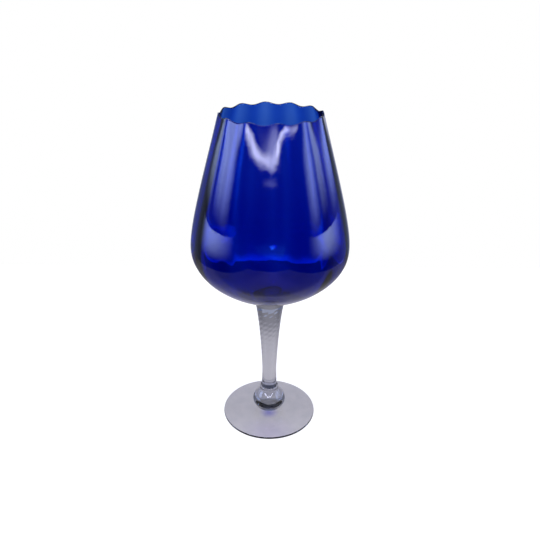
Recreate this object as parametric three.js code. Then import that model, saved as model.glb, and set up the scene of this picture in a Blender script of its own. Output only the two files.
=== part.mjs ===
// Blown-glass candle holder in the shape of a balloon goblet.
//
// Four gathers of glass, joined hot, stand on one axis: a disc foot, a ball knop, a drawn stem
// with a twisted rib pattern, and an optic-ribbed bowl with a scalloped lip. Millimetres, +Z up,
// origin at the centre of the foot's underside.

import * as THREE from "three";

// ---- Overall sizes -----------------------------------------------------------------------
const TOTAL_HEIGHT = 300; // surface it stands on to the mean level of the lip
const BOWL_RADIUS = 70.4; // at the belly, the widest level
const FOOT_RADIUS = 45.6;
const JOINT_GAP = 0.3; // between the faces of two gathers that are fused together

// ---- Bowl --------------------------------------------------------------------------------
const BOWL_HEIGHT = 171.5; // seat on the stem to lip
const BELLY_HEIGHT = 55.7; // seat to belly
const MOUTH_RADIUS = 42.9; // outside, at the lip
const MOUTH_SLOPE = 0.28; // how far the wall leans in per unit of height at the lip
const SIDE_WALL = 2.4; // from the belly to the lip
const FLOOR_WALL = 9; // at the axis, over the seat
const SEAT_MARGIN = 0.4; // the seat reaches this far past the stem's top
const SEAT_SLOPE = 0.6; // rise of the underside per unit of radius where it leaves the seat
// How full each curve of the wall is: the length of its handle as a share of its reach.
const UNDERSIDE_FULLNESS = 0.35;
const FLOOR_FULLNESS = 0.46;
const BELLY_FULLNESS_BELOW = 0.53;
const BELLY_FULLNESS_ABOVE = 0.16;
const SHOULDER_FULLNESS = 0.52;

// ---- Optic ribs of the bowl --------------------------------------------------------------
const RIB_COUNT = 12;
const RIB_PHASE = THREE.MathUtils.degToRad(7);
const RIB_RELIEF_OUTSIDE = 0.35; // half of crest to hollow, on the outer surface
const RIB_RELIEF_INSIDE = 0.8; // the same on the inner surface, so the wall thins and thickens
const LIP_SCALLOP = 1; // how far a rib lifts the lip above its mean level
const SCALLOP_DEPTH = 24; // the lift dies out this far below the lip

// ---- Stem --------------------------------------------------------------------------------
const STEM_TOP_RADIUS = 13.4;
const STEM_LIP = 3.2; // upright rim at the top of the trumpet
const STEM_WAIST_RADIUS = 6.8;
const STEM_FOOT_RADIUS = 7.6;
const STEM_WAIST_HEIGHT = 21; // above the knop
// The trumpet's curve: how far it opens per unit of height at each end, and the length of its
// handles as a share of its rise.
const WAIST_SLOPE = 0.036;
const WAIST_FULLNESS = 0.3;
const TRUMPET_SLOPE = 0.195;
const TRUMPET_FULLNESS = 0.26;
const STEM_RIB_COUNT = 8;
const STEM_RIB_RELIEF = 0.35;
const STEM_RIB_LEAD = 64; // height in which a rib goes once round
const STEM_RIB_FADE = 6; // ribs die out over this height at the upright rim
const STEM_RIB_START = 26; // ribs begin this far above the waist

// ---- Knop --------------------------------------------------------------------------------
const KNOP_RADIUS = 16;
const KNOP_HEIGHT = 25.2;
const KNOP_MIDDLE = 9.2; // level of its largest radius above the foot
const KNOP_BASE_RADIUS = 10; // fused to the foot
const KNOP_TOP_MARGIN = 0.4; // the knop's top face reaches this far past the stem

// ---- Foot --------------------------------------------------------------------------------
const FOOT_EDGE = 2.4; // thickness of the rounded edge
const FOOT_CENTRE = 5.2; // height of the pad under the knop
const FOOT_PAD_MARGIN = 1; // the pad reaches this far past the knop's base
const FOOT_RING_WIDTH = 5; // flat ring that the foot stands on
const FOOT_HOLLOW = 1.6; // rise of the dished underside at the centre

// ---- Fineness of the turned surfaces -------------------------------------------------------
const BOWL_SEGMENTS = RIB_COUNT * 5;
const STEM_SEGMENTS = STEM_RIB_COUNT * 4;
const KNOP_SEGMENTS = 36;
const FOOT_SEGMENTS = 60;
const WALL_STEPS = 9; // along each curve of the bowl's wall
const LIP_STEPS = 4;
const STEM_STEPS = 22;
const NECK_STEPS = 4;
const KNOP_STEPS = 6;
const FOOT_STEPS = 5;

// ---- Levels ------------------------------------------------------------------------------
const KNOP_LEVEL = FOOT_CENTRE + JOINT_GAP;
const STEM_LEVEL = KNOP_LEVEL + KNOP_HEIGHT + JOINT_GAP;
const BOWL_LEVEL = TOTAL_HEIGHT - BOWL_HEIGHT;
const STEM_LENGTH = BOWL_LEVEL - JOINT_GAP - STEM_LEVEL;

// An outline point: its radius and height, and what a rib's crest adds to each. turn is the angle
// by which the whole ring of that point is twisted.
function spot(r, z, swell = 0, lift = 0, turn = 0) {
  return { r, z, swell, lift, turn };
}

// A turned solid from an outline that starts and ends on the axis, with soft ribs round it.
function ribbedSolid(outline, segments, ribCount, ribPhase) {
  const plain = outline.map((o) => new THREE.Vector2(o.r, o.z));
  const geometry = new THREE.LatheGeometry(plain, segments);
  const position = geometry.getAttribute("position");
  for (let i = 0; i < position.count; i += 1) {
    const at = outline[i % outline.length];
    const angle = (Math.floor(i / outline.length) / segments) * 2 * Math.PI;
    const crest = Math.cos(ribCount * (angle - ribPhase));
    const radius = at.r + at.swell * crest;
    const x = radius * Math.cos(angle + at.turn);
    const y = radius * Math.sin(angle + at.turn);
    position.setXYZ(i, x, y, at.z + at.lift * crest);
  }
  geometry.computeVertexNormals();
  return geometry;
}

// A plain turned solid, stood up from three.js's Y axis onto Z.
function turnedSolid(outline, segments) {
  return new THREE.LatheGeometry(outline, segments).rotateX(Math.PI / 2);
}

// The bowl's wall in its own frame, seat at height 0, as four curves in the order of the outline:
// from the seat's edge to the belly and on to the lip outside, then back down inside to the axis.
function bowlCurves() {
  const seatRadius = STEM_TOP_RADIUS + SEAT_MARGIN;
  const lipHeight = BOWL_HEIGHT - SIDE_WALL / 2;
  const rise = lipHeight - BELLY_HEIGHT;
  const lean = new THREE.Vector2(MOUTH_SLOPE, -1).normalize();
  const inward = new THREE.Vector2(lean.y, -lean.x); // across the wall at the lip
  const undersideReach = (BOWL_RADIUS - seatRadius) * UNDERSIDE_FULLNESS;
  const belowBelly = BELLY_HEIGHT * (1 - BELLY_FULLNESS_BELOW);
  const aboveBelly = BELLY_HEIGHT + rise * BELLY_FULLNESS_ABOVE;
  const outerLip = new THREE.Vector2(MOUTH_RADIUS, lipHeight);
  const innerLip = outerLip.clone().addScaledVector(inward, SIDE_WALL);
  const shoulder = rise * SHOULDER_FULLNESS;
  const innerRadius = BOWL_RADIUS - SIDE_WALL;
  const outerBelow = new THREE.CubicBezierCurve(
    new THREE.Vector2(seatRadius, 0),
    new THREE.Vector2(seatRadius + undersideReach, undersideReach * SEAT_SLOPE),
    new THREE.Vector2(BOWL_RADIUS, belowBelly),
    new THREE.Vector2(BOWL_RADIUS, BELLY_HEIGHT),
  );
  const outerAbove = new THREE.CubicBezierCurve(
    new THREE.Vector2(BOWL_RADIUS, BELLY_HEIGHT),
    new THREE.Vector2(BOWL_RADIUS, aboveBelly),
    outerLip.clone().addScaledVector(lean, shoulder),
    outerLip,
  );
  const innerAbove = new THREE.CubicBezierCurve(
    innerLip,
    innerLip.clone().addScaledVector(lean, shoulder),
    new THREE.Vector2(innerRadius, aboveBelly),
    new THREE.Vector2(innerRadius, BELLY_HEIGHT),
  );
  const innerBelow = new THREE.CubicBezierCurve(
    new THREE.Vector2(innerRadius, BELLY_HEIGHT),
    new THREE.Vector2(innerRadius, belowBelly + SIDE_WALL),
    new THREE.Vector2(innerRadius * FLOOR_FULLNESS, FLOOR_WALL),
    new THREE.Vector2(0, FLOOR_WALL),
  );
  return { outerBelow, outerAbove, innerAbove, innerBelow };
}

// The ribs fade in from the seat to the belly, and their lift is at the lip only.
function bowlSpot(point, relief) {
  const fade = THREE.MathUtils.smoothstep(point.y, FLOOR_WALL, BELLY_HEIGHT);
  const nearLip = BOWL_HEIGHT - SCALLOP_DEPTH;
  const lift = LIP_SCALLOP * THREE.MathUtils.smoothstep(point.y, nearLip, BOWL_HEIGHT);
  return spot(point.x, point.y, relief * fade, lift);
}

function bowlOutline() {
  const curves = bowlCurves();
  const outside = [
    ...curves.outerBelow.getPoints(WALL_STEPS),
    ...curves.outerAbove.getPoints(WALL_STEPS).slice(1),
  ];
  const inside = [
    ...curves.innerAbove.getPoints(WALL_STEPS),
    ...curves.innerBelow.getPoints(WALL_STEPS).slice(1),
  ];
  // A half circle over the lip, from the outer wall to the inner one.
  const middle = outside.at(-1).clone().add(inside[0]).multiplyScalar(0.5);
  const spoke = outside.at(-1).clone().sub(middle);
  const lip = [];
  for (let i = 1; i < LIP_STEPS; i += 1) {
    const turned = spoke.clone().rotateAround(new THREE.Vector2(), (Math.PI * i) / LIP_STEPS);
    lip.push(middle.clone().add(turned));
  }
  return [
    spot(0, 0),
    ...outside.map((p) => bowlSpot(p, RIB_RELIEF_OUTSIDE)),
    ...lip.map((p) => bowlSpot(p, (RIB_RELIEF_OUTSIDE + RIB_RELIEF_INSIDE) / 2)),
    ...inside.map((p) => bowlSpot(p, RIB_RELIEF_INSIDE)),
  ];
}

function bowlGeometry() {
  return ribbedSolid(bowlOutline(), BOWL_SEGMENTS, RIB_COUNT, RIB_PHASE);
}

// The stem in its own frame, its lower face at height 0: a neck over the knop, a trumpet that opens
// upwards, and an upright rim under the bowl's seat.
function stemOutline() {
  const top = STEM_LENGTH - STEM_LIP;
  const rise = top - STEM_WAIST_HEIGHT;
  const waistHandle = rise * WAIST_FULLNESS;
  const topHandle = rise * TRUMPET_FULLNESS;
  const neck = new THREE.QuadraticBezierCurve(
    new THREE.Vector2(STEM_FOOT_RADIUS, 0),
    new THREE.Vector2(STEM_WAIST_RADIUS, STEM_WAIST_HEIGHT / 3),
    new THREE.Vector2(STEM_WAIST_RADIUS, STEM_WAIST_HEIGHT),
  );
  const trumpet = new THREE.CubicBezierCurve(
    new THREE.Vector2(STEM_WAIST_RADIUS, STEM_WAIST_HEIGHT),
    new THREE.Vector2(STEM_WAIST_RADIUS + waistHandle * WAIST_SLOPE, STEM_WAIST_HEIGHT + waistHandle),
    new THREE.Vector2(STEM_TOP_RADIUS - topHandle * TRUMPET_SLOPE, top - topHandle),
    new THREE.Vector2(STEM_TOP_RADIUS, top),
  );
  const ribsFrom = STEM_WAIST_HEIGHT + STEM_RIB_START;
  const ribbed = (p) => {
    const starting = THREE.MathUtils.smoothstep(p.y, STEM_WAIST_HEIGHT, ribsFrom);
    const ending = THREE.MathUtils.smoothstep(top - p.y, 0, STEM_RIB_FADE);
    const turn = ((p.y - STEM_WAIST_HEIGHT) / STEM_RIB_LEAD) * 2 * Math.PI;
    return spot(p.x, p.y, STEM_RIB_RELIEF * starting * ending, 0, turn);
  };
  const rim = new THREE.Vector2(STEM_TOP_RADIUS, STEM_LENGTH);
  const centre = new THREE.Vector2(0, STEM_LENGTH);
  return [
    spot(0, 0),
    ...neck.getPoints(NECK_STEPS).map((p) => spot(p.x, p.y)),
    ...trumpet.getPoints(STEM_STEPS).slice(1).map(ribbed),
    ribbed(rim),
    ribbed(centre),
  ];
}

function stemGeometry() {
  return ribbedSolid(stemOutline(), STEM_SEGMENTS, STEM_RIB_COUNT, 0);
}

// One half of the knop's side: part of an ellipse from its middle to the given end.
function knopSide(endRadius, endHeight, steps) {
  const reach = endHeight - KNOP_MIDDLE;
  const cut = Math.acos(endRadius / KNOP_RADIUS);
  const semiAxis = reach / Math.sin(cut);
  const points = [];
  for (let i = 0; i <= steps; i += 1) {
    const angle = (cut * i) / steps;
    const height = KNOP_MIDDLE + semiAxis * Math.sin(angle);
    points.push(new THREE.Vector2(KNOP_RADIUS * Math.cos(angle), height));
  }
  return points;
}

function knopGeometry() {
  const lower = knopSide(KNOP_BASE_RADIUS, 0, KNOP_STEPS).reverse();
  const upper = knopSide(STEM_FOOT_RADIUS + KNOP_TOP_MARGIN, KNOP_HEIGHT, KNOP_STEPS);
  const outline = [
    new THREE.Vector2(0, 0),
    ...lower,
    ...upper.slice(1),
    new THREE.Vector2(0, KNOP_HEIGHT),
  ];
  return turnedSolid(outline, KNOP_SEGMENTS);
}

// The foot: dished underside, flat standing ring, rounded edge, and a top that sweeps up to the
// flat pad under the knop.
function footGeometry() {
  const round = FOOT_EDGE / 2;
  const ringOutside = FOOT_RADIUS - round;
  const ringInside = ringOutside - FOOT_RING_WIDTH;
  const padRadius = KNOP_BASE_RADIUS + FOOT_PAD_MARGIN;
  const dish = new THREE.QuadraticBezierCurve(
    new THREE.Vector2(0, FOOT_HOLLOW),
    new THREE.Vector2(ringInside / 2, FOOT_HOLLOW),
    new THREE.Vector2(ringInside, 0),
  );
  const edge = new THREE.Path().absarc(ringOutside, round, round, -Math.PI / 2, Math.PI / 2);
  const sweep = new THREE.QuadraticBezierCurve(
    new THREE.Vector2(ringOutside, FOOT_EDGE),
    new THREE.Vector2(FOOT_RADIUS / 2, FOOT_EDGE),
    new THREE.Vector2(padRadius, FOOT_CENTRE),
  );
  const outline = [
    ...dish.getPoints(FOOT_STEPS),
    ...edge.getPoints(FOOT_STEPS),
    ...sweep.getPoints(FOOT_STEPS).slice(1),
    new THREE.Vector2(0, FOOT_CENTRE),
  ];
  return turnedSolid(outline, FOOT_SEGMENTS);
}

function cobaltGlass() {
  return new THREE.MeshStandardMaterial({
    color: 0x14209b,
    roughness: 0.05,
    metalness: 0,
    transparent: true,
    opacity: 0.8,
  });
}

function clearGlass() {
  return new THREE.MeshStandardMaterial({
    color: 0xb9b8c6,
    roughness: 0.05,
    metalness: 0,
    transparent: true,
    opacity: 0.5,
  });
}

function piece(name, geometry, material, level) {
  const mesh = new THREE.Mesh(geometry, material);
  mesh.name = name;
  mesh.position.z = level;
  return mesh;
}

const candleHolder = new THREE.Group();
candleHolder.add(
  piece("foot", footGeometry(), clearGlass(), 0),
  piece("knop", knopGeometry(), clearGlass(), KNOP_LEVEL),
  piece("stem", stemGeometry(), clearGlass(), STEM_LEVEL),
  piece("bowl", bowlGeometry(), cobaltGlass(), BOWL_LEVEL),
);

export default candleHolder;
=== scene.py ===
import math

import bpy
import numpy as np
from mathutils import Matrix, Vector


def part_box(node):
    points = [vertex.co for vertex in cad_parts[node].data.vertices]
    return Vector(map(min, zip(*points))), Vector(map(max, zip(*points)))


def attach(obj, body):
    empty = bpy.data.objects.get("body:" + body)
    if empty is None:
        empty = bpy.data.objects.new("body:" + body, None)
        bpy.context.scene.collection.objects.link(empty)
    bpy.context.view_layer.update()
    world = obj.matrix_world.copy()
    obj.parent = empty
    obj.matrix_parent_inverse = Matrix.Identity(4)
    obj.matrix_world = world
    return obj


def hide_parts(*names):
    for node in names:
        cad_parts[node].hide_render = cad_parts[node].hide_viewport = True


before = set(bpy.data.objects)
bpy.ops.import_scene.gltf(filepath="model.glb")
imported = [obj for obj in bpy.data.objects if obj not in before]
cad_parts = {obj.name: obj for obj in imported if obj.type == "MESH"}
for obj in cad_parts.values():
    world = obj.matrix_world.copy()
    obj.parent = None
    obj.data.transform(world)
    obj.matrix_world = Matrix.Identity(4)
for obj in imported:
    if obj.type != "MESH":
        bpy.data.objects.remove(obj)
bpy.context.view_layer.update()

MM = 0.001


# ---- Small helpers ---------------------------------------------------------------------------


def linear(hex_colour):
    """A colour as it shows on screen, as the linear light a shader works in."""
    channels = [int(hex_colour[i:i + 2], 16) / 255 for i in (1, 3, 5)]
    light = [c / 12.92 if c <= 0.04045 else ((c + 0.055) / 1.055) ** 2.4 for c in channels]
    return (*light, 1.0)


def deselect_all():
    if bpy.context.object and bpy.context.object.mode != "OBJECT":
        bpy.ops.object.mode_set(mode="OBJECT")
    bpy.ops.object.select_all(action="DESELECT")


def pick(piece):
    deselect_all()
    piece.select_set(True)
    bpy.context.view_layer.objects.active = piece


def smooth(low, high, value):
    """0 below low, 1 above high, and an easy slope between them."""
    share = np.clip((np.asarray(value, float) - low) / (high - low), 0, 1)
    return share * share * (3 - 2 * share)


# ---- The glassmaker's sizes, in millimetres -----------------------------------------------------

bowl_low, bowl_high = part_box("bowl")
stem_low, stem_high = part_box("stem")
knop_low, knop_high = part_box("knop")
foot_low, foot_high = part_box("foot")

FUSE = 0.1  # how far one gather sinks into the one it is fused to
FLOOR_GAP = 0.3  # the paper lies this far below the standing ring
ROUND = 0.55  # length of the handles that make a curve a quarter circle, as a share of its radius

# bowl
SEAT_LEVEL = bowl_low.z / MM
SEAT_RADIUS = 13.8  # of the flat underneath, which the stem carries
SEAT_REACH = 0.35  # how far the wall first heads out, as a share of seat to belly
SEAT_SLOPE = 0.6  # and how steeply it does
BELLY_RADIUS = 70.25
BELLY_LEVEL = SEAT_LEVEL + 55.7
BELLY_UNDER = 0.47  # the wall is pulled upright from this share of seat to belly
BELLY_OVER = 0.16  # up to this share of belly to lip
SHOULDER = 0.52  # how far down the lean of the mouth is felt, as a share of belly to lip
LIP_LEVEL = 299.7
LIP_SCALLOP = 1.0  # how far a rib lifts the lip, and a hollow drops it
SCALLOP_DEPTH = 24  # the scallops die out this far below the lip
MOUTH_RADIUS = 42.9
MOUTH_LEAN = 0.28  # how far the wall goes out for each unit down from the lip
SIDE_WALL = 2.4
LIP_WALL = 1.4
FLOOR_WALL = 6.0
FLOOR_SPREAD = 0.46  # how far out the floor is pulled flat inside, as a share of the inner radius
OPTIC_RIBS = 12
RIB_TURN = math.radians(7)  # the first crest stands this far round from +X
RIB_OUTSIDE = 0.1  # half of crest to hollow
RIB_INSIDE = 0.7  # the same inside, where the mould's ribs are not blown smooth

# stem
STEM_FOOT_RADIUS = 7.6
STEM_FOOT_SWEEP = (0.27, 4.7)  # its foot sweeps in to this much over the waist, at this rise
STEM_HEAD_RADIUS = 13.4
STEM_RIM = 3.2  # upright rim at the top of the trumpet
WAIST_RISE = 21
WAIST_RADIUS = 6.8
WAIST_BELOW = 9.3  # how far down the waist stays slim
WAIST_ABOVE = 0.3  # and how far up, as a share of waist to rim
WAIST_OPENING = 0.73  # how much wider it has grown by then
TRUMPET = 0.26  # length of the open part of the trumpet, as a share of waist to rim
TRUMPET_SLOPE = 0.195  # how far it opens for each unit up, at the rim
TWIST_RIBS = 12
TWIST_LEAD = 64  # height in which a rib goes once round
TWIST_RELIEF = 0.07
TWIST_START = 26  # the ribs come in over this height above the waist
TWIST_END = 6  # and die out over this height below the rim
FLAT_END = 3  # inside this radius there are only the flat ends, which carry no ribs

# knop
KNOP_BASE_RADIUS = 10
KNOP_RADIUS = 16
KNOP_MIDDLE_RISE = 9.2
KNOP_UNDER, KNOP_OVER = 3.2, 4.4  # how far it is pulled upright under and over its middle
KNOP_TUCK = (13.6, 2.4)  # the underside heads out for this radius, at this rise
KNOP_SHOULDER = (12.6, 7.2)  # and the top for this one, this far below the stem
COLLAR = 3.4  # height of the collar under the stem
COLLAR_RADIUS = STEM_FOOT_RADIUS + 1.8
COLLAR_TOP_RADIUS = STEM_FOOT_RADIUS + 0.8
COLLAR_EDGE = STEM_FOOT_RADIUS + 1.6  # where its side would meet its top, if it were not rounded

# foot
FOOT_EDGE = 2.2  # thickness of the rounded edge
FOOT_FLAT = 12  # the top is pulled flat this far in from the edge
FOOT_SWELL = (24, 0.8)  # it swells up from about this radius, by this much
PAD_RADIUS = 11
PAD_EDGE = 0.4  # softening of the pad's edge
STANDING_RING = 5  # width of the ring that stands on the table
FOOT_HOLLOW = 1.6  # depth of the dish inside it
HOLLOW_MIDDLE, HOLLOW_SIDE = 0.35, 0.7  # shares of the dish that are flat, and where it turns down


def draw_profile(name, points, fineness):
    """Draws half of a turned piece's outline as a Bezier curve in the XZ plane and makes it an edge
    chain. Each point is (radius, height, handle towards the last point, handle towards the next),
    in millimetres, with a handle's end given as (radius, height), and None for a sharp corner."""
    deselect_all()
    bpy.ops.curve.primitive_bezier_curve_add(location=(0, 0, 0))
    profile = bpy.context.object
    profile.name = name
    line = profile.data.splines[0]
    line.bezier_points.add(len(points) - 2)
    line.resolution_u = fineness
    profile.data.resolution_u = fineness
    for knot, (radius, height, before, after) in zip(line.bezier_points, points):
        here = Vector((radius, 0, height)) * MM
        knot.handle_left_type = knot.handle_right_type = "FREE"
        knot.co = here
        knot.handle_left = here if before is None else Vector((before[0], 0, before[1])) * MM
        knot.handle_right = here if after is None else Vector((after[0], 0, after[1])) * MM
    bpy.ops.object.convert(target="MESH")
    return bpy.context.object


def turn_on_axis(piece, steps):
    """Spins the outline once round the upright axis and closes the seam and the poles."""
    pick(piece)
    bpy.ops.object.mode_set(mode="EDIT")
    bpy.ops.mesh.select_all(action="SELECT")
    bpy.ops.mesh.spin(
        steps=steps, angle=2 * math.pi, center=(0, 0, 0), axis=(0, 0, 1), use_auto_merge=True
    )
    bpy.ops.mesh.select_all(action="SELECT")
    bpy.ops.mesh.remove_doubles(threshold=0.00001)
    bpy.ops.mesh.normals_make_consistent(inside=False)
    bpy.ops.object.mode_set(mode="OBJECT")
    bpy.ops.object.shade_smooth()
    return piece


def reshape(piece, rule):
    """Moves every point of a piece by a rule on its radius, angle and height, in millimetres."""
    mesh = piece.data
    flat = np.empty(len(mesh.vertices) * 3, np.float32)
    mesh.vertices.foreach_get("co", flat)
    x, y, z = (flat.reshape(-1, 3) / MM).T.astype(float)
    radius, angle, height = rule(np.hypot(x, y), np.arctan2(y, x), z)
    moved = np.stack([radius * np.cos(angle), radius * np.sin(angle), height], axis=1) * MM
    mesh.vertices.foreach_set("co", moved.astype(np.float32).ravel())
    mesh.update()


# ---- Bowl -----------------------------------------------------------------------------------


def blow_bowl():
    """A balloon of even wall with a heavy floor, cracked off at the mouth and fire-polished there."""
    lip = LIP_LEVEL - LIP_WALL / 2
    rise = lip - BELLY_LEVEL
    lean = np.array([MOUTH_LEAN, -1.0]) / math.hypot(MOUTH_LEAN, 1.0)
    across = np.array([lean[1], -lean[0]])  # from the outer wall towards the axis at the lip
    outer_lip = np.array([MOUTH_RADIUS, lip])
    inner_lip = outer_lip + across * LIP_WALL
    crown = (outer_lip + inner_lip) / 2 - lean * LIP_WALL / 2
    shoulder = lean * rise * SHOULDER
    rounding = LIP_WALL / 2 * ROUND
    inside = BELLY_RADIUS - SIDE_WALL
    floor = SEAT_LEVEL + FLOOR_WALL
    reach = (BELLY_RADIUS - SEAT_RADIUS) * SEAT_REACH
    below = SEAT_LEVEL + (BELLY_LEVEL - SEAT_LEVEL) * BELLY_UNDER
    above = BELLY_LEVEL + rise * BELLY_OVER
    points = [
        (0, SEAT_LEVEL, None, None),
        (SEAT_RADIUS, SEAT_LEVEL, None, (SEAT_RADIUS + reach, SEAT_LEVEL + reach * SEAT_SLOPE)),
        (BELLY_RADIUS, BELLY_LEVEL, (BELLY_RADIUS, below), (BELLY_RADIUS, above)),
        (*outer_lip, outer_lip + shoulder, outer_lip - lean * rounding),
        (*crown, crown - across * rounding, crown + across * rounding),
        (*inner_lip, inner_lip - lean * rounding, inner_lip + shoulder),
        (inside, BELLY_LEVEL, (inside, above), (inside, below + SIDE_WALL)),
        (0, floor, (inside * FLOOR_SPREAD, floor), None),
    ]
    outline = draw_profile("cobalt_bowl", points, fineness=26)
    wall = np.array([(v.co.x, v.co.z) for v in outline.data.vertices]) / MM
    bowl = turn_on_axis(outline, steps=288)
    press_optic_ribs(bowl, wall)
    return bowl


def press_optic_ribs(bowl, wall):
    """The ribs left by the optic mould: soft outside, deeper inside, and a scalloped lip."""
    top = int(np.argmax(wall[:, 1]))
    outer, inner = wall[:top + 1], wall[top:][::-1]

    def rule(radius, angle, height):
        outer_wall = np.interp(height, outer[:, 1], outer[:, 0])
        inner_wall = np.interp(height, inner[:, 1], inner[:, 0], left=0)
        through = (radius - inner_wall) / np.maximum(outer_wall - inner_wall, 0.1)
        outside = smooth(0.35, 0.65, through)  # 0 on the inner skin, 1 on the outer, at any wall
        crest = np.cos(OPTIC_RIBS * (angle - RIB_TURN))
        fade = smooth(SEAT_LEVEL + FLOOR_WALL, BELLY_LEVEL, height)
        relief = RIB_INSIDE + (RIB_OUTSIDE - RIB_INSIDE) * outside
        lift = LIP_SCALLOP * smooth(LIP_LEVEL - SCALLOP_DEPTH, LIP_LEVEL, height)
        return radius + relief * fade * crest, angle, height + lift * crest
    reshape(bowl, rule)


# ---- Stem, knop and foot -----------------------------------------------------------------------


def draw_stem():
    """A gather drawn out from the knop, twisted while soft, and flared into a trumpet."""
    low = knop_high.z / MM - FUSE
    waist = stem_low.z / MM + WAIST_RISE
    seat = SEAT_LEVEL + FUSE
    top = stem_high.z / MM - STEM_RIM
    rise = top - waist
    flare = rise * TRUMPET
    sweep, sweep_rise = STEM_FOOT_SWEEP
    points = [
        (0, low, None, None),
        (STEM_FOOT_RADIUS, low, None, (WAIST_RADIUS + sweep, low + sweep_rise)),
        (WAIST_RADIUS, waist, (WAIST_RADIUS, waist - WAIST_BELOW),
         (WAIST_RADIUS + WAIST_OPENING, waist + rise * WAIST_ABOVE)),
        (STEM_HEAD_RADIUS, top, (STEM_HEAD_RADIUS - flare * TRUMPET_SLOPE, top - flare), None),
        (STEM_HEAD_RADIUS, seat, None, None),
        (0, seat, None, None),
    ]
    stem = turn_on_axis(draw_profile("twisted_stem", points, fineness=60), steps=192)

    def rule(radius, angle, height):
        starting = smooth(waist, waist + TWIST_START, height)
        ending = smooth(0, TWIST_END, top - height)
        turn = (height - waist) / TWIST_LEAD * 2 * math.pi
        crest = 0.5 + 0.5 * np.cos(TWIST_RIBS * (angle - turn))
        ribs = 2 * crest ** 2 - 1  # squared, for narrow crests and wide hollows
        relief = TWIST_RELIEF * starting * ending * (radius > FLAT_END)
        return radius + relief * ribs, angle, height
    reshape(stem, rule)
    return stem


def draw_knop():
    """A ball pressed flat on the foot, fuller below than above, with a collar under the stem."""
    low = foot_high.z / MM - FUSE
    top = knop_high.z / MM
    middle = knop_low.z / MM + KNOP_MIDDLE_RISE
    tuck, tuck_rise = KNOP_TUCK
    shoulder, shoulder_drop = KNOP_SHOULDER
    points = [
        (0, low, None, None),
        (KNOP_BASE_RADIUS, low, None, (tuck, low + tuck_rise)),
        (KNOP_RADIUS, middle, (KNOP_RADIUS, middle - KNOP_UNDER), (KNOP_RADIUS, middle + KNOP_OVER)),
        (COLLAR_RADIUS, top - COLLAR, (shoulder, top - shoulder_drop), (COLLAR_EDGE, top - 2.4)),
        (COLLAR_TOP_RADIUS, top, (COLLAR_EDGE, top), None),
        (0, top, None, None),
    ]
    return turn_on_axis(draw_profile("ball_knop", points, fineness=24), steps=128)


def draw_foot():
    """A disc spun out flat, raised to a pad at the centre and dished underneath."""
    radius = foot_high.x / MM
    round_off = FOOT_EDGE / 2
    ring_out = radius - round_off
    ring_in = ring_out - STANDING_RING
    crown = foot_high.z / MM
    handle = round_off * ROUND
    swell_radius, swell = FOOT_SWELL
    points = [
        (0, FOOT_HOLLOW, None, (ring_in * HOLLOW_MIDDLE, FOOT_HOLLOW)),
        (ring_in, 0, (ring_in * HOLLOW_SIDE, FOOT_HOLLOW / 3), None),
        (ring_out, 0, None, (ring_out + handle, 0)),
        (radius, round_off, (radius, round_off - handle), (radius, round_off + handle)),
        (ring_out, FOOT_EDGE, (ring_out + handle, FOOT_EDGE), (ring_out - FOOT_FLAT, FOOT_EDGE)),
        (PAD_RADIUS, crown, (swell_radius, FOOT_EDGE + swell), (PAD_RADIUS - PAD_EDGE, crown)),
        (0, crown, None, None),
    ]
    return turn_on_axis(draw_profile("disc_foot", points, fineness=16), steps=256)


# ---- Materials ------------------------------------------------------------------------------

SODA_LIME_IOR = 1.52

# marks on and in the glass, in millimetres
RIPPLE_WIDTH = 9.09  # one ripple, as wide as the jacks that left it
PEEL_GRAIN = 2.0  # one dimple; real ones are finer, and these are as coarse as they need to show
WEAR_PATCH = 16.67  # a fingertip's width of duller polish
CORD_WIDTH, CORD_LENGTH = 11.11, 111.1  # a streak in the melt, drawn out as the gather was


def per_metre(size):
    """The scale of a pattern whose marks are this many millimetres across."""
    return 1 / (size * MM)


def node(tree, kind, settings=None, links=None):
    """Adds a node, sets its properties and its unlinked inputs, and links the rest."""
    made = tree.nodes.new(kind)
    for key, value in (settings or {}).items():
        if key in made.inputs:
            made.inputs[key].default_value = value
        else:
            setattr(made, key, value)
    for key, source in (links or {}).items():
        tree.links.new(source, made.inputs[key])
    return made


def new_material(name):
    material = bpy.data.materials.new(name)
    material.use_nodes = True
    material.node_tree.nodes.clear()
    return material, material.node_tree


def worked_skin(tree, place, ripple, peel):
    """The skin of hand-worked glass: slow ripples from the tools under a fine orange peel."""
    wide = node(tree, "ShaderNodeTexNoise", {
        "Scale": per_metre(RIPPLE_WIDTH), "Detail": 2.0, "Roughness": 0.5}, {"Vector": place})
    fine = node(tree, "ShaderNodeTexNoise", {
        "Scale": per_metre(PEEL_GRAIN), "Detail": 2.0, "Roughness": 0.6}, {"Vector": place})
    rippled = node(tree, "ShaderNodeBump", {"Strength": 1.0, "Distance": ripple * MM}, {
        "Height": wide.outputs[0]})
    peeled = node(tree, "ShaderNodeBump", {"Strength": 1.0, "Distance": peel * MM}, {
        "Height": fine.outputs[0], "Normal": rippled.outputs[0]})
    return peeled.outputs[0]


def cords(tree, place, pale, deep):
    """Cords: faint upright streaks where the melt was not quite even."""
    wide, long = per_metre(CORD_WIDTH), per_metre(CORD_LENGTH)
    drawn = node(tree, "ShaderNodeMapping", {"Scale": (wide, wide, long)}, {"Vector": place})
    streak = node(tree, "ShaderNodeTexNoise", {"Scale": 1.0, "Detail": 3.0, "Roughness": 0.5}, {
        "Vector": drawn.outputs[0]})
    colour = node(tree, "ShaderNodeValToRGB", {}, {"Fac": streak.outputs[0]})
    for stop, position, tint in zip(colour.color_ramp.elements, (0.3, 0.7), (deep, pale)):
        stop.position = position
        stop.color = linear(tint)
    return colour.outputs[0]


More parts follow.
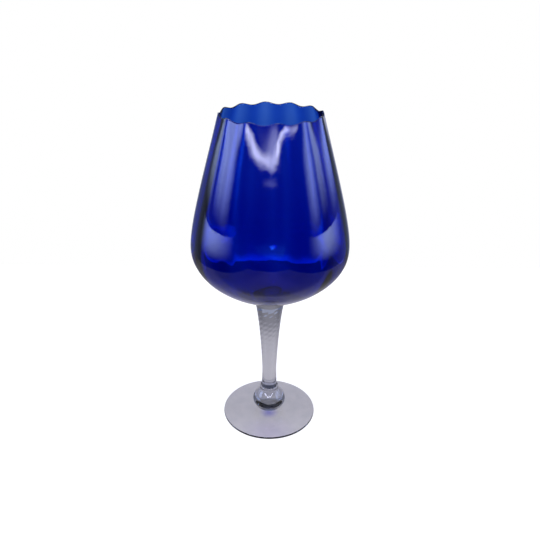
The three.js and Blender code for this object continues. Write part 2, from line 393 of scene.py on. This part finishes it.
def polish(tree, place, glossy, dull):
    """Fire polish, a little less even where fingers and cloth have been."""
    wear = node(tree, "ShaderNodeTexNoise", {
        "Scale": per_metre(WEAR_PATCH), "Detail": 4.0, "Roughness": 0.6}, {"Vector": place})
    return node(tree, "ShaderNodeMapRange", {"To Min": glossy, "To Max": dull}, {
        "Value": wear.outputs[0]}).outputs[0]


def glass(name, pale, deep, let_through, density, ripple, peel):
    """Glass that tints light a little at its skin, between pale and deep along its cords, and more
    inside, where the thickness crossed and the density leave only the colour let through. The
    ripple and the peel are how high they stand, in millimetres."""
    material, tree = new_material(name)
    place = node(tree, "ShaderNodeTexCoord").outputs["Object"]
    surface = node(tree, "ShaderNodeBsdfPrincipled", {
        "IOR": SODA_LIME_IOR, "Transmission Weight": 1.0}, {
        "Base Color": cords(tree, place, pale, deep),
        "Roughness": polish(tree, place, 0.0, 0.05),
        "Normal": worked_skin(tree, place, ripple, peel),
    })
    inside = node(tree, "ShaderNodeVolumeAbsorption", {
        "Color": linear(let_through), "Density": density})
    node(tree, "ShaderNodeOutputMaterial", {}, {
        "Surface": surface.outputs["BSDF"],
        "Volume": inside.outputs["Volume"],
    })
    return material


def cobalt_blown_glass():
    """Soda-lime glass coloured with cobalt, blown in an optic mould and fire-polished. The eye gets a
    wet shine over slow ripples, and a blue that is royal where the wall is thin and goes to navy,
    nearly black, where light crosses much of it."""
    return glass(
        "cobalt_blown_glass", pale="#6b9bf2", deep="#5f92ee", let_through="#27b8f2", density=1045,
        ripple=0.03, peel=0.006)


def clear_drawn_glass():
    """Clear soda-lime glass, drawn out by hand and fire-polished. The eye gets grey and white bands
    bent by its ripples, which are higher than the bowl's, and a faint lavender cast from the melt."""
    return glass(
        "clear_drawn_glass", pale="#f5f5fa", deep="#ecedf4", let_through="#9099a0", density=12,
        ripple=0.06, peel=0.004)


def matt_white_paper():
    """Uncoated drawing paper, matt, with a glow of its own. Straight to the eye it is an even white.
    The glass sees a dimmer copy with painted light and shade on it: brightest round the foot and
    behind it and down the middle, with two painted violet pools of light under the foot, standing
    in for light that the bowl has tinted."""
    material, tree = new_material("matt_white_paper")
    place = node(tree, "ShaderNodeTexCoord").outputs["Object"]
    way = node(tree, "ShaderNodeSeparateXYZ", {}, {"Vector": place})
    # Painted light and shade, seen only by the glass: dim in front, brightest round the foot and behind
    # it, dim again far back.
    painted_light_band = node(tree, "ShaderNodeValToRGB", {}, {"Fac": way.outputs["Y"]})
    stops = painted_light_band.color_ramp.elements
    for metres_back, light in (  # back from the middle of the table
        (0.16, 0.15), (0.20, 0.38), (0.25, 0.31), (0.36, 0.33), (0.42, 0.29), (0.49, 0.15),
    ):
        stops.new(metres_back).color = (light, light, light, 1)
    stops.remove(stops[0])
    stops.remove(stops[-1])
    # Painted light: brighter down the middle of the table, dimmer to the sides.
    aside = node(tree, "ShaderNodeMath", {"operation": "ABSOLUTE"}, {0: way.outputs["X"]})
    middle = node(tree, "ShaderNodeMapRange", {
        "From Min": 0.06, "From Max": 0.2, "To Min": 1.55, "To Max": 0.7}, {"Value": aside.outputs[0]})
    painted_light_strength = node(tree, "ShaderNodeMath", {"operation": "MULTIPLY"}, {
        0: painted_light_band.outputs[0], 1: middle.outputs[0]})
    # Two painted pools of violet light under the foot, standing in for light tinted by the bowl.
    painted_violet_pool = node(tree, "ShaderNodeMixRGB", {
        "Color1": linear("#fdf9ff"), "Color2": linear("#adaaff")}, {
        "Fac": painted_pool(tree, place, centre=(0, 0.243), size=(0.010, 0.009))})
    painted_pale_pool = node(tree, "ShaderNodeMixRGB", {"Color2": linear("#ede5ff")}, {
        "Fac": painted_pool(tree, place, centre=(0, 0.214), size=(0.03, 0.026)),
        "Color1": painted_violet_pool.outputs[0]})
    # The glass sees the paper glowing with the painted light and shade above; the eye sees it even
    # white.
    seen_by_glass = glowing_paper(tree, "#fdf9ff", shade=0.12, glow=0.0, links={
        "Color": painted_pale_pool.outputs[0], "Strength": painted_light_strength.outputs[0]})
    seen_by_eye = glowing_paper(tree, "#ffffff", shade=0.4, glow=0.9)
    path = node(tree, "ShaderNodeLightPath")
    mix = node(tree, "ShaderNodeMixShader", {}, {
        "Fac": path.outputs["Is Camera Ray"], 1: seen_by_glass, 2: seen_by_eye})
    node(tree, "ShaderNodeOutputMaterial", {}, {"Surface": mix.outputs[0]})
    return material


def painted_pool(tree, place, centre, size):
    """A soft painted pool of light on the paper, in metres, full at its middle and gone at its rim."""
    near = node(tree, "ShaderNodeMapping", {
        "vector_type": "TEXTURE", "Location": (*centre, 0), "Scale": (*size, 1)}, {"Vector": place})
    return node(tree, "ShaderNodeTexGradient", {"gradient_type": "SPHERICAL"}, {
        "Vector": near.outputs[0]}).outputs["Fac"]


def glowing_paper(tree, tint, shade, glow, links=None):
    """Paper that reflects a share of the light on it and adds a glow of its own; where the glow's
    strength is linked, it carries painted light and shade.
    """
    red, green, blue, _ = linear(tint)
    paper = node(tree, "ShaderNodeBsdfDiffuse", {"Color": (shade * red, shade * green, shade * blue, 1)})
    # The glow; where its strength is linked it is painted light and shade.
    through = node(tree, "ShaderNodeEmission", {"Color": linear(tint), "Strength": glow}, links)
    return node(tree, "ShaderNodeAddShader", {}, {0: paper.outputs[0], 1: through.outputs[0]}).outputs[0]


# ---- Studio, in metres ------------------------------------------------------------------------

BOWL_MIDDLE = (0, 0, 0.24)
TABLE_WIDTH, TABLE_DEPTH = 0.84, 1.16
TABLE_MIDDLE = -0.25  # a little in front of the glass
SKY = linear("#b5c8ff")[:3]
DAYLIGHT = linear("#e1e3ff")[:3]
HOOP_RADIUS = 0.56


def lay_floor():
    """A pale tabletop under the standing ring."""
    deselect_all()
    bpy.ops.mesh.primitive_plane_add(size=1, location=(0, TABLE_MIDDLE, -FLOOR_GAP * MM))
    floor = bpy.context.object
    floor.name = "pale_floor"
    floor.scale = (TABLE_WIDTH, TABLE_DEPTH, 1)
    bpy.ops.object.transform_apply(location=False, rotation=False, scale=True)
    floor.data.materials.append(matt_white_paper())


def light_room():
    """Straight to the eye the room is white. The glass sees it dim and bluish, brighter above and
    behind the glass."""
    scene = bpy.context.scene
    scene.view_settings.view_transform = "Standard"
    scene.world = bpy.data.worlds.new("studio")
    scene.world.use_nodes = True
    tree = scene.world.node_tree
    tree.nodes.clear()
    place = node(tree, "ShaderNodeTexCoord").outputs["Generated"]
    way = node(tree, "ShaderNodeSeparateXYZ", {}, {"Vector": place})
    above = node(tree, "ShaderNodeMapRange", {
        "From Min": 0.1, "From Max": 0.8, "To Min": 0.0, "To Max": 0.2}, {"Value": way.outputs["Z"]})
    behind = node(tree, "ShaderNodeMapRange", {
        "From Min": -0.1, "From Max": 0.6, "To Min": 0.0, "To Max": 0.3}, {"Value": way.outputs["Y"]})
    both = node(tree, "ShaderNodeMath", {"operation": "ADD"}, {
        0: above.outputs[0], 1: behind.outputs[0]})
    seen_by_glass = node(tree, "ShaderNodeBackground", {"Color": linear("#bccbff")}, {
        "Strength": both.outputs[0]})
    seen_by_eye = node(tree, "ShaderNodeBackground", {"Color": (1, 1, 1, 1), "Strength": 1.0})
    path = node(tree, "ShaderNodeLightPath")
    mix = node(tree, "ShaderNodeMixShader", {}, {
        "Fac": path.outputs["Is Camera Ray"], 1: seen_by_glass.outputs[0], 2: seen_by_eye.outputs[0]})
    node(tree, "ShaderNodeOutputWorld", {}, {"Surface": mix.outputs[0]})


def soft_lamp(name, place, aim, width, height, glow, feather, roll=0, colour=(1, 1, 1), inside=True):
    """A softbox whose glow fades over a share of its width at the sides, and of its height at the
    bottom and at the top. One that is not seen inside shows only as a shine on the outer skin."""
    lamp = bpy.data.lights.new(name, "AREA")
    lamp.shape = "RECTANGLE"
    lamp.size = width
    lamp.size_y = height
    lamp.energy = glow * 4 * width * height
    lamp.color = colour
    lamp.use_nodes = True
    tree = lamp.node_tree
    tree.nodes.clear()
    spot = node(tree, "ShaderNodeNewGeometry").outputs["Parametric"]
    sides = node(tree, "ShaderNodeSeparateXYZ", {}, {"Vector": spot})
    across, up = sides.outputs["X"], sides.outputs["Y"]

    def fade(dark, full, along):
        return node(tree, "ShaderNodeMapRange", {
            "interpolation_type": "SMOOTHSTEP", "From Min": dark, "From Max": full,
        }, {"Value": along}).outputs[0]
    side, bottom, top = feather
    glowing = fade(0, side, across)
    for more in (fade(1, 1 - side, across), fade(0, bottom, up), fade(1, 1 - top, up)):
        glowing = node(tree, "ShaderNodeMath", {"operation": "MULTIPLY"}, {
            0: glowing, 1: more}).outputs[0]
    emission = node(tree, "ShaderNodeEmission", {}, {"Strength": glowing})
    node(tree, "ShaderNodeOutputLight", {}, {"Surface": emission.outputs[0]})
    made = bpy.data.objects.new(name, lamp)
    made.location = place
    facing = (Vector(aim) - Vector(place)).to_track_quat("-Z", "Y").to_euler()
    facing.rotate_axis("Z", math.radians(roll))
    made.rotation_euler = facing
    made.visible_camera = False
    made.visible_transmission = inside
    bpy.context.scene.collection.objects.link(made)


def hang_lamps():
    """Softboxes and windows. A feather is the share that fades at the sides, bottom and top."""
    # backdrop: name, place, aim, width, height, glow, feather
    for lamp in (
        ("ceiling", (0, 0.1, 1.7), (0, 0, 0.1), 2.0, 2.0, 1.2, (0.3, 0.3, 0.3)),
        ("back_wall", (0, 1.1, -0.2), (0, 0, -0.2), 1.3, 1.1, 0.18, (0.15, 0.05, 0.05)),
        ("back_upper", (0, 1.09, 0.18), (0, 0, 0.18), 1.3, 0.34, 0.26, (0.15, 0.6, 0.05)),
        ("back_low", (0, 1.09, -0.38), (0, 0, -0.28), 0.9, 0.1, 0.7, (0.5, 0.4, 0.5)),
        ("back_glint", (0.006, 0.345, -0.012), (0, 0, 0.19), 0.07, 0.006, 8.0, (0.1, 0.4, 0.4)),
    ):
        soft_lamp(*lamp)

    # windows, for the tall soft streaks at the sides: name, place, width, height, glow, feather
    for name, place, *shape in (
        ("left_window", (-1.13, -0.27, 0.41), 0.56, 0.52, 5.8, (0.5, 0.6, 0.1)),
        ("left_casement", (-1.19, -0.02, 0.39), 0.42, 0.46, 5.0, (0.4, 0.6, 0.2)),
        ("left_shutter", (-1.06, 0.48, 0.30), 0.62, 0.40, 2.6, (0.4, 0.5, 0.4)),
        ("right_window", (1.10, -0.40, 0.41), 0.66, 0.52, 4.8, (0.5, 0.6, 0.1)),
        ("right_casement", (1.17, 0.06, 0.39), 0.5, 0.46, 4.4, (0.4, 0.6, 0.2)),
        ("right_shutter", (1.02, 0.54, 0.28), 0.66, 0.40, 2.4, (0.4, 0.5, 0.4)),
    ):
        soft_lamp(name, place, BOWL_MIDDLE, *shape, colour=SKY)

    # sills, for the two arcs low on the bowl
    for name, x, roll in (("left_sill", -1.08, 6), ("right_sill", 1.09, -6)):
        soft_lamp(name, (x, -0.12, 0.02), (0, 0, 0.2), 1.5, 0.24, 5.6, (0.6, 1.0, 0.02), roll, SKY)

    # a hoop of small lamps in front, dipping in the middle, that the bowl shows as one hanging loop:
    # turn to the right, height, width of the lamp, its height, its roll, its glow
    for turn, rise, width, height, roll, glow in (
        (-46, 0.428, 0.30, 0.062, -0.6, 14.5),
        (-25, 0.4225, 0.28, 0.056, -2.8, 13),
        (-9, 0.412, 0.20, 0.046, -4.5, 9),
        (3, 0.4085, 0.14, 0.046, 5, 8),
        (13, 0.4225, 0.14, 0.042, 9, 13),
        (24, 0.438, 0.17, 0.038, 6.5, 13),
        (37, 0.451, 0.22, 0.036, 5.0, 13),
    ):
        side = math.radians(turn)
        place = (HOOP_RADIUS * math.sin(side), -HOOP_RADIUS * math.cos(side), rise)
        soft_lamp("hoop_lamp", place, BOWL_MIDDLE, width, height, glow, (0.35, 0.5, 0.5),
                  roll, DAYLIGHT, inside=False)

    # front lamps, for the shine over the loop: name, place, width, height, glow, feather
    for name, place, *shape in (
        ("front_fill", (0, -0.6, 0.462), 0.46, 0.12, 4.5, (0.45, 0.3, 0.7)),
        ("front_far", (-0.03, -1.18, 0.51), 0.6, 0.035, 1.0, (0.3, 0.4, 0.4)),
    ):
        soft_lamp(name, place, BOWL_MIDDLE, *shape, colour=DAYLIGHT, inside=False)
    soft_lamp("overhead", (0.02, -0.35, 1.3), (0, 0, 0), 0.3, 0.22, 14.0, (0.4, 0.4, 0.4),
              colour=DAYLIGHT)


# ---- Camera -----------------------------------------------------------------------------------

CAMERA_PLACE = (0, -0.4933, 0.4022)
CAMERA_SENSOR = 36
CAMERA_LENS = 40.37
CAMERA_PITCH = 26.30  # degrees down from level
CAMERA_ROLL = 0.42


def set_camera():
    camera = bpy.data.cameras.new("camera")
    camera.sensor_width = CAMERA_SENSOR
    camera.lens = CAMERA_LENS
    camera.clip_start = 0.01
    camera.clip_end = 100
    made = bpy.data.objects.new("camera", camera)
    made.location = CAMERA_PLACE
    made.rotation_mode = "XYZ"
    made.rotation_euler = (math.radians(90 - CAMERA_PITCH), 0, 0)
    made.rotation_euler.rotate_axis("Z", math.radians(CAMERA_ROLL))
    bpy.context.scene.collection.objects.link(made)
    bpy.context.scene.camera = made


# ---- The finished piece -------------------------------------------------------------------------

set_camera()
cobalt = cobalt_blown_glass()
clear = clear_drawn_glass()
for make, material, cad_node, slot in (
    (blow_bowl, cobalt, "bowl", "cobalt_glass"),
    (draw_stem, clear, "stem", "clear_glass"),
    (draw_knop, clear, "knop", "clear_glass"),
    (draw_foot, clear, "foot", "clear_glass"),
):
    piece = make()
    piece.data.materials.clear()
    piece.data.materials.append(material)
    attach(piece, "root")
    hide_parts(cad_node)
lay_floor()
light_room()
hang_lamps()
